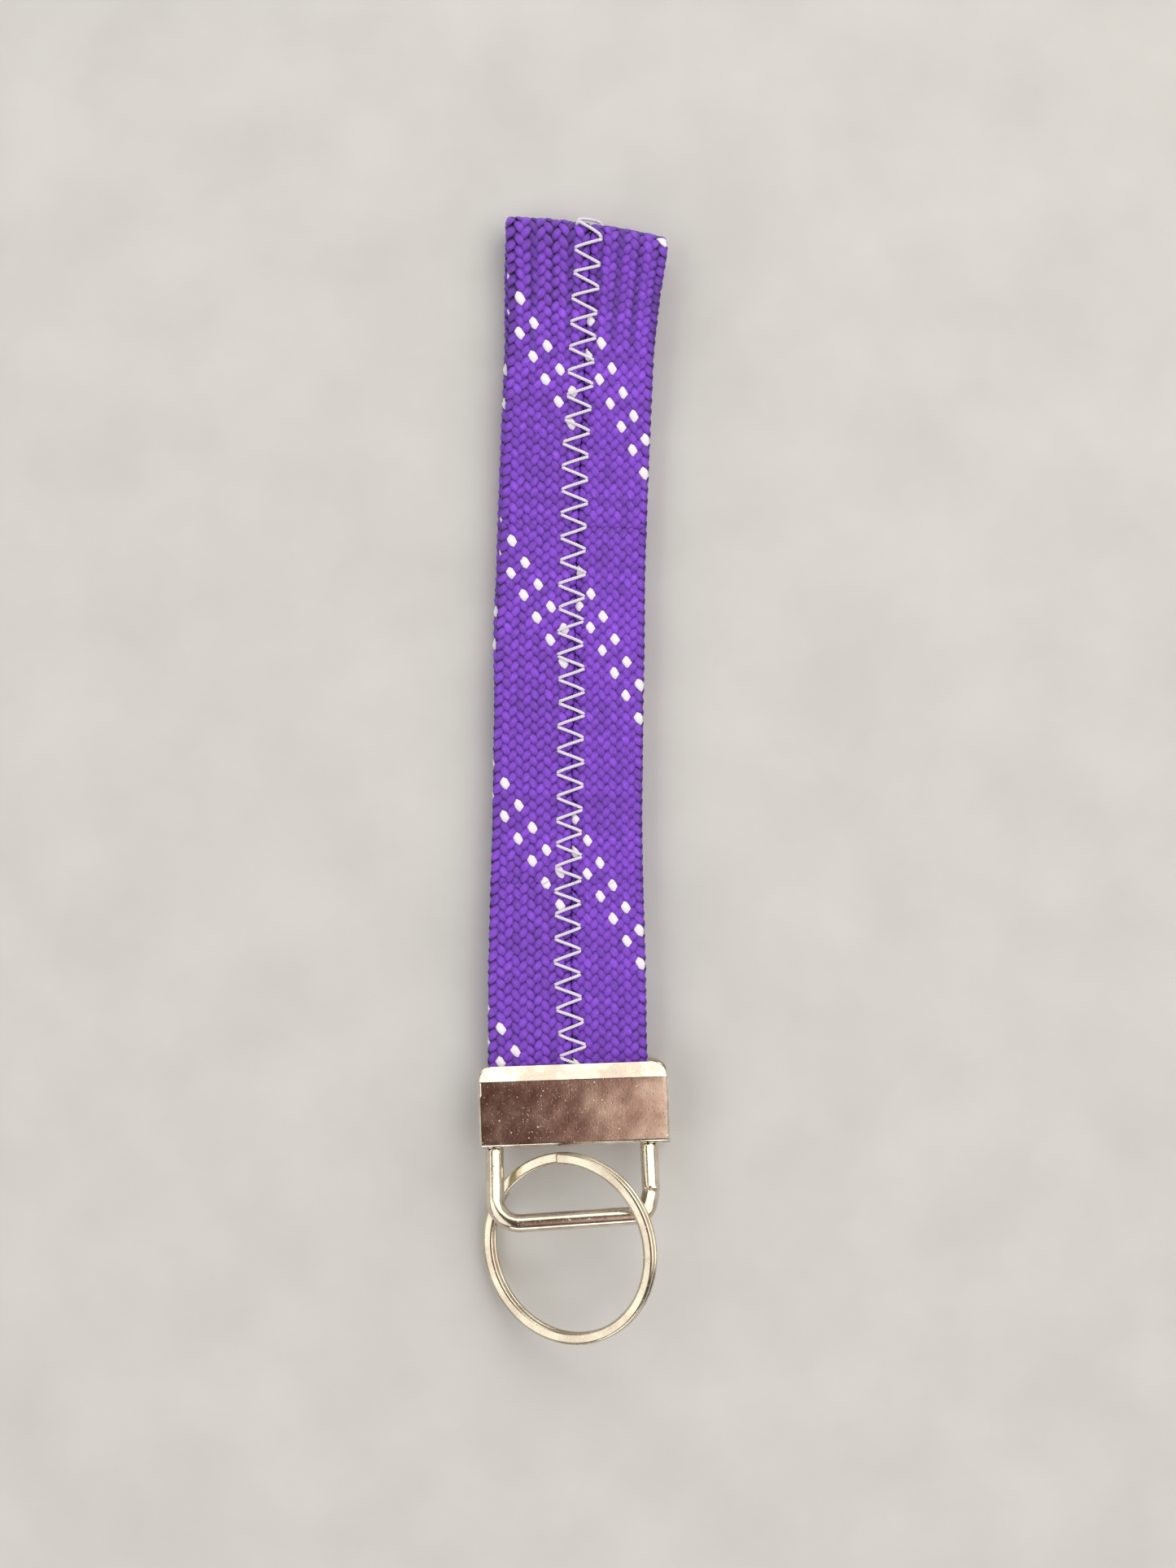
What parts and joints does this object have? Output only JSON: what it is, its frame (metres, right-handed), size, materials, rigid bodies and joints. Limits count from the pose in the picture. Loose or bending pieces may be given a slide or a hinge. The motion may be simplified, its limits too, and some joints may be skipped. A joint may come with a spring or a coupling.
{
  "type": "wristlet keychain",
  "caption": "Wrist loop of twin braided laces joined by a zigzag seam, crimped in a metal clamp with a wire bail and a split key ring.",
  "frame": {"origin": "middle of the clamp's flat back face", "axes": "+Y along the strap from the key ring to the fold, +Z from the back face to the front face, +X to the right seen from the front"},
  "size_m": [0.0304, 0.1564, 0.0135],
  "materials": {
    "lace": "braided polyester, soft",
    "thread": "twisted sewing thread, slight sheen",
    "clamp_metal": "bright nickel plate, lightly pitted",
    "wire_metal": "bright nickel plate",
    "ring_metal": "bright nickel plate"
  },
  "bodies": {
    "clamp": {"clamp_shell": "clamp_metal", "left_lace_clamped_ends": "lace", "right_lace_clamped_ends": "lace"},
    "front_lower": {"left_lace_front_lower": "lace", "right_lace_front_lower": "lace", "needle_thread_front_lower": "thread", "bobbin_thread_front_lower": "thread"},
    "front_upper": {"left_lace_front_upper": "lace", "right_lace_front_upper": "lace", "needle_thread_front_upper": "thread", "bobbin_thread_front_upper": "thread"},
    "fold": {"left_lace_fold": "lace", "right_lace_fold": "lace", "needle_thread_fold": "thread", "bobbin_thread_fold": "thread"},
    "back_upper": {"left_lace_back_upper": "lace", "right_lace_back_upper": "lace", "needle_thread_back_upper": "thread", "bobbin_thread_back_upper": "thread"},
    "back_lower": {"left_lace_back_lower": "lace", "right_lace_back_lower": "lace", "needle_thread_back_lower": "thread", "bobbin_thread_back_lower": "thread"},
    "bail": {"bail": "wire_metal"},
    "split_ring": {"split_ring": "ring_metal"}
  },
  "joints": [
    {"name": "bail_swing", "type": "hinge", "parent": "clamp", "child": "bail", "pos_m": [0, -0.0037, 0.0032], "axis": [1, 0, 0], "range_deg": [-2, 56]},
    {"name": "ring_turn", "type": "hinge", "parent": "bail", "child": "split_ring", "pos_m": [-0.0014, -0.0197, 0.00685], "axis": [0, -1, 0], "range_deg": [0, 126]},
    {"name": "loop_open", "type": "hinge", "parent": "clamp", "child": "front_lower", "pos_m": [0, 0.0059, 0.00515], "axis": [1, 0, 0], "range_deg": [0, 38]},
    {"name": "front_bend", "type": "hinge", "parent": "front_lower", "child": "front_upper", "pos_m": [0, 0.0559, 0.00345], "axis": [1, 0, 0], "range_deg": [-76, 0]},
    {"name": "fold_front_bend", "type": "hinge", "parent": "front_upper", "child": "fold", "pos_m": [0, 0.1059, 0.00515], "axis": [1, 0, 0], "range_deg": [0, 38]},
    {"name": "fold_back_bend", "type": "hinge", "parent": "fold", "child": "back_upper", "pos_m": [0, 0.1059, 0.00125], "axis": [1, 0, 0], "range_deg": [0, 38]},
    {"name": "back_bend", "type": "hinge", "parent": "back_upper", "child": "back_lower", "pos_m": [0, 0.0559, 0.00295], "axis": [1, 0, 0], "range_deg": [-76, 0]}
  ],
  "couplings": [
    {"joint": "front_bend", "follows": "loop_open", "ratio": -2},
    {"joint": "fold_front_bend", "follows": "loop_open", "ratio": 1},
    {"joint": "fold_back_bend", "follows": "loop_open", "ratio": 1},
    {"joint": "back_bend", "follows": "loop_open", "ratio": -2}
  ]
}
